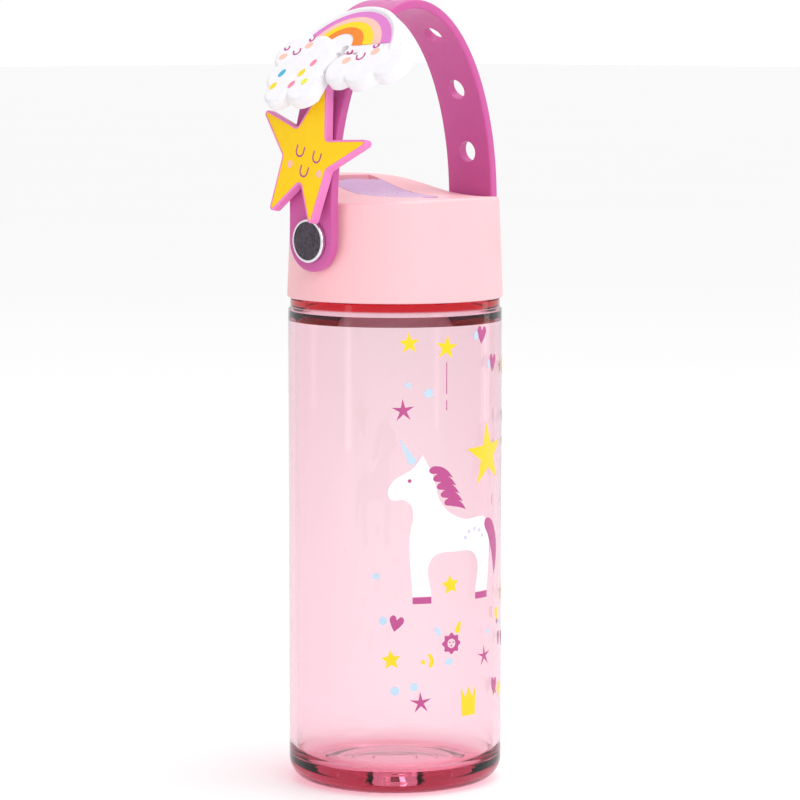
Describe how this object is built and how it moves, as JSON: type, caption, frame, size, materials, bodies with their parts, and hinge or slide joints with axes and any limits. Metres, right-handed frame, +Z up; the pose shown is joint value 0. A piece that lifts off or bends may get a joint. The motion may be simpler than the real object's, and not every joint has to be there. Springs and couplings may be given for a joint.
{
  "type": "kids water bottle",
  "caption": "Clear tinted round water bottle with a screw lid, flip-up sip spout, soft swinging carry strap on two rivets, and star and rainbow charms plugged into the strap.",
  "frame": {"origin": "centre of the base, on the plane that the bottle stands on", "axes": "+Z up along the bottle's axis; the strap's two legs are on +X and -X; the spout's tip and the printed art face -Y"},
  "size_m": [0.0892, 0.0755, 0.256],
  "materials": {
    "clear_pink": "clear, gloss",
    "lid_pink": "satin",
    "insert_pink": "satin",
    "clear_silicone": "soft, frosted",
    "spout_lilac": "satin",
    "pin_steel": "turned",
    "strap_orchid": "satin silicone",
    "bush_white": "satin",
    "rivet_chrome": "polished",
    "disc_black": "spun, black",
    "charm_orchid": "soft, satin",
    "charm_yellow": "soft, satin",
    "charm_plum": "soft, satin",
    "charm_peach": "soft, satin",
    "charm_white": "soft, satin",
    "charm_orange": "soft, satin",
    "charm_blue": "soft, satin",
    "charm_rose": "soft, satin",
    "charm_lime": "soft, satin"
  },
  "bodies": {
    "bottle": {"bottle_body": "clear_pink"},
    "gasket": {"lid_gasket": "clear_silicone"},
    "lid": {"lid_shell": "lid_pink", "thread_insert": "insert_pink", "vent_valve": "clear_silicone", "spout_seal": "clear_silicone", "spout_pins": "pin_steel", "rivet_post_left": "pin_steel", "rivet_post_right": "pin_steel", "rivet_bezel_left": "rivet_chrome", "rivet_bezel_right": "rivet_chrome", "rivet_disc_left": "disc_black", "rivet_disc_right": "disc_black"},
    "spout": {"flip_spout": "spout_lilac", "spout_nozzle": "clear_silicone"},
    "strap": {"carry_strap": "strap_orchid", "strap_bush_left": "bush_white", "strap_bush_right": "bush_white"},
    "star": {"star_base": "charm_orchid", "star_inlay": "charm_yellow", "star_face": "charm_plum", "star_cheeks": "charm_peach"},
    "rainbow": {"rainbow_base": "charm_white", "band_orchid": "charm_orchid", "band_peach": "charm_peach", "band_yellow": "charm_yellow", "band_orange": "charm_orange", "cloud_faces": "charm_plum", "cloud_cheeks": "charm_peach", "cloud_dots_blue": "charm_blue", "cloud_dots_yellow": "charm_yellow", "cloud_dots_pink": "charm_rose", "cloud_dots_lime": "charm_lime"}
  },
  "joints": [
    {"name": "lid_lift", "type": "slide", "parent": "bottle", "child": "gasket", "axis": [0, 0, 1], "range_m": [0, 0.012]},
    {"name": "lid_turn", "type": "hinge", "parent": "gasket", "child": "lid", "pos_m": [0, 0, 0.1736], "axis": [0, 0, 1], "range_deg": [0, 360]},
    {"name": "spout_flip", "type": "hinge", "parent": "lid", "child": "spout", "pos_m": [0, 0.014, 0.189], "axis": [-1, 0, 0], "range_deg": [0, 90]},
    {"name": "strap_swing", "type": "hinge", "parent": "lid", "child": "strap", "pos_m": [0, 0, 0.1792], "axis": [1, 0, 0], "range_deg": [-110, 110]},
    {"name": "star_spin", "type": "hinge", "parent": "strap", "child": "star", "pos_m": [-0.03553, 0, 0.20613], "axis": [-0.9892, 0, 0.1464], "range_deg": [-12, 12]},
    {"name": "rainbow_spin", "type": "hinge", "parent": "strap", "child": "rainbow", "pos_m": [-0.01872, 0, 0.2454], "axis": [-0.7233, 0, 0.6905], "range_deg": [-12, 12]}
  ],
  "couplings": [
    {"joint": "lid_lift", "follows": "lid_turn", "m_per_rad": 0.0019099}
  ]
}
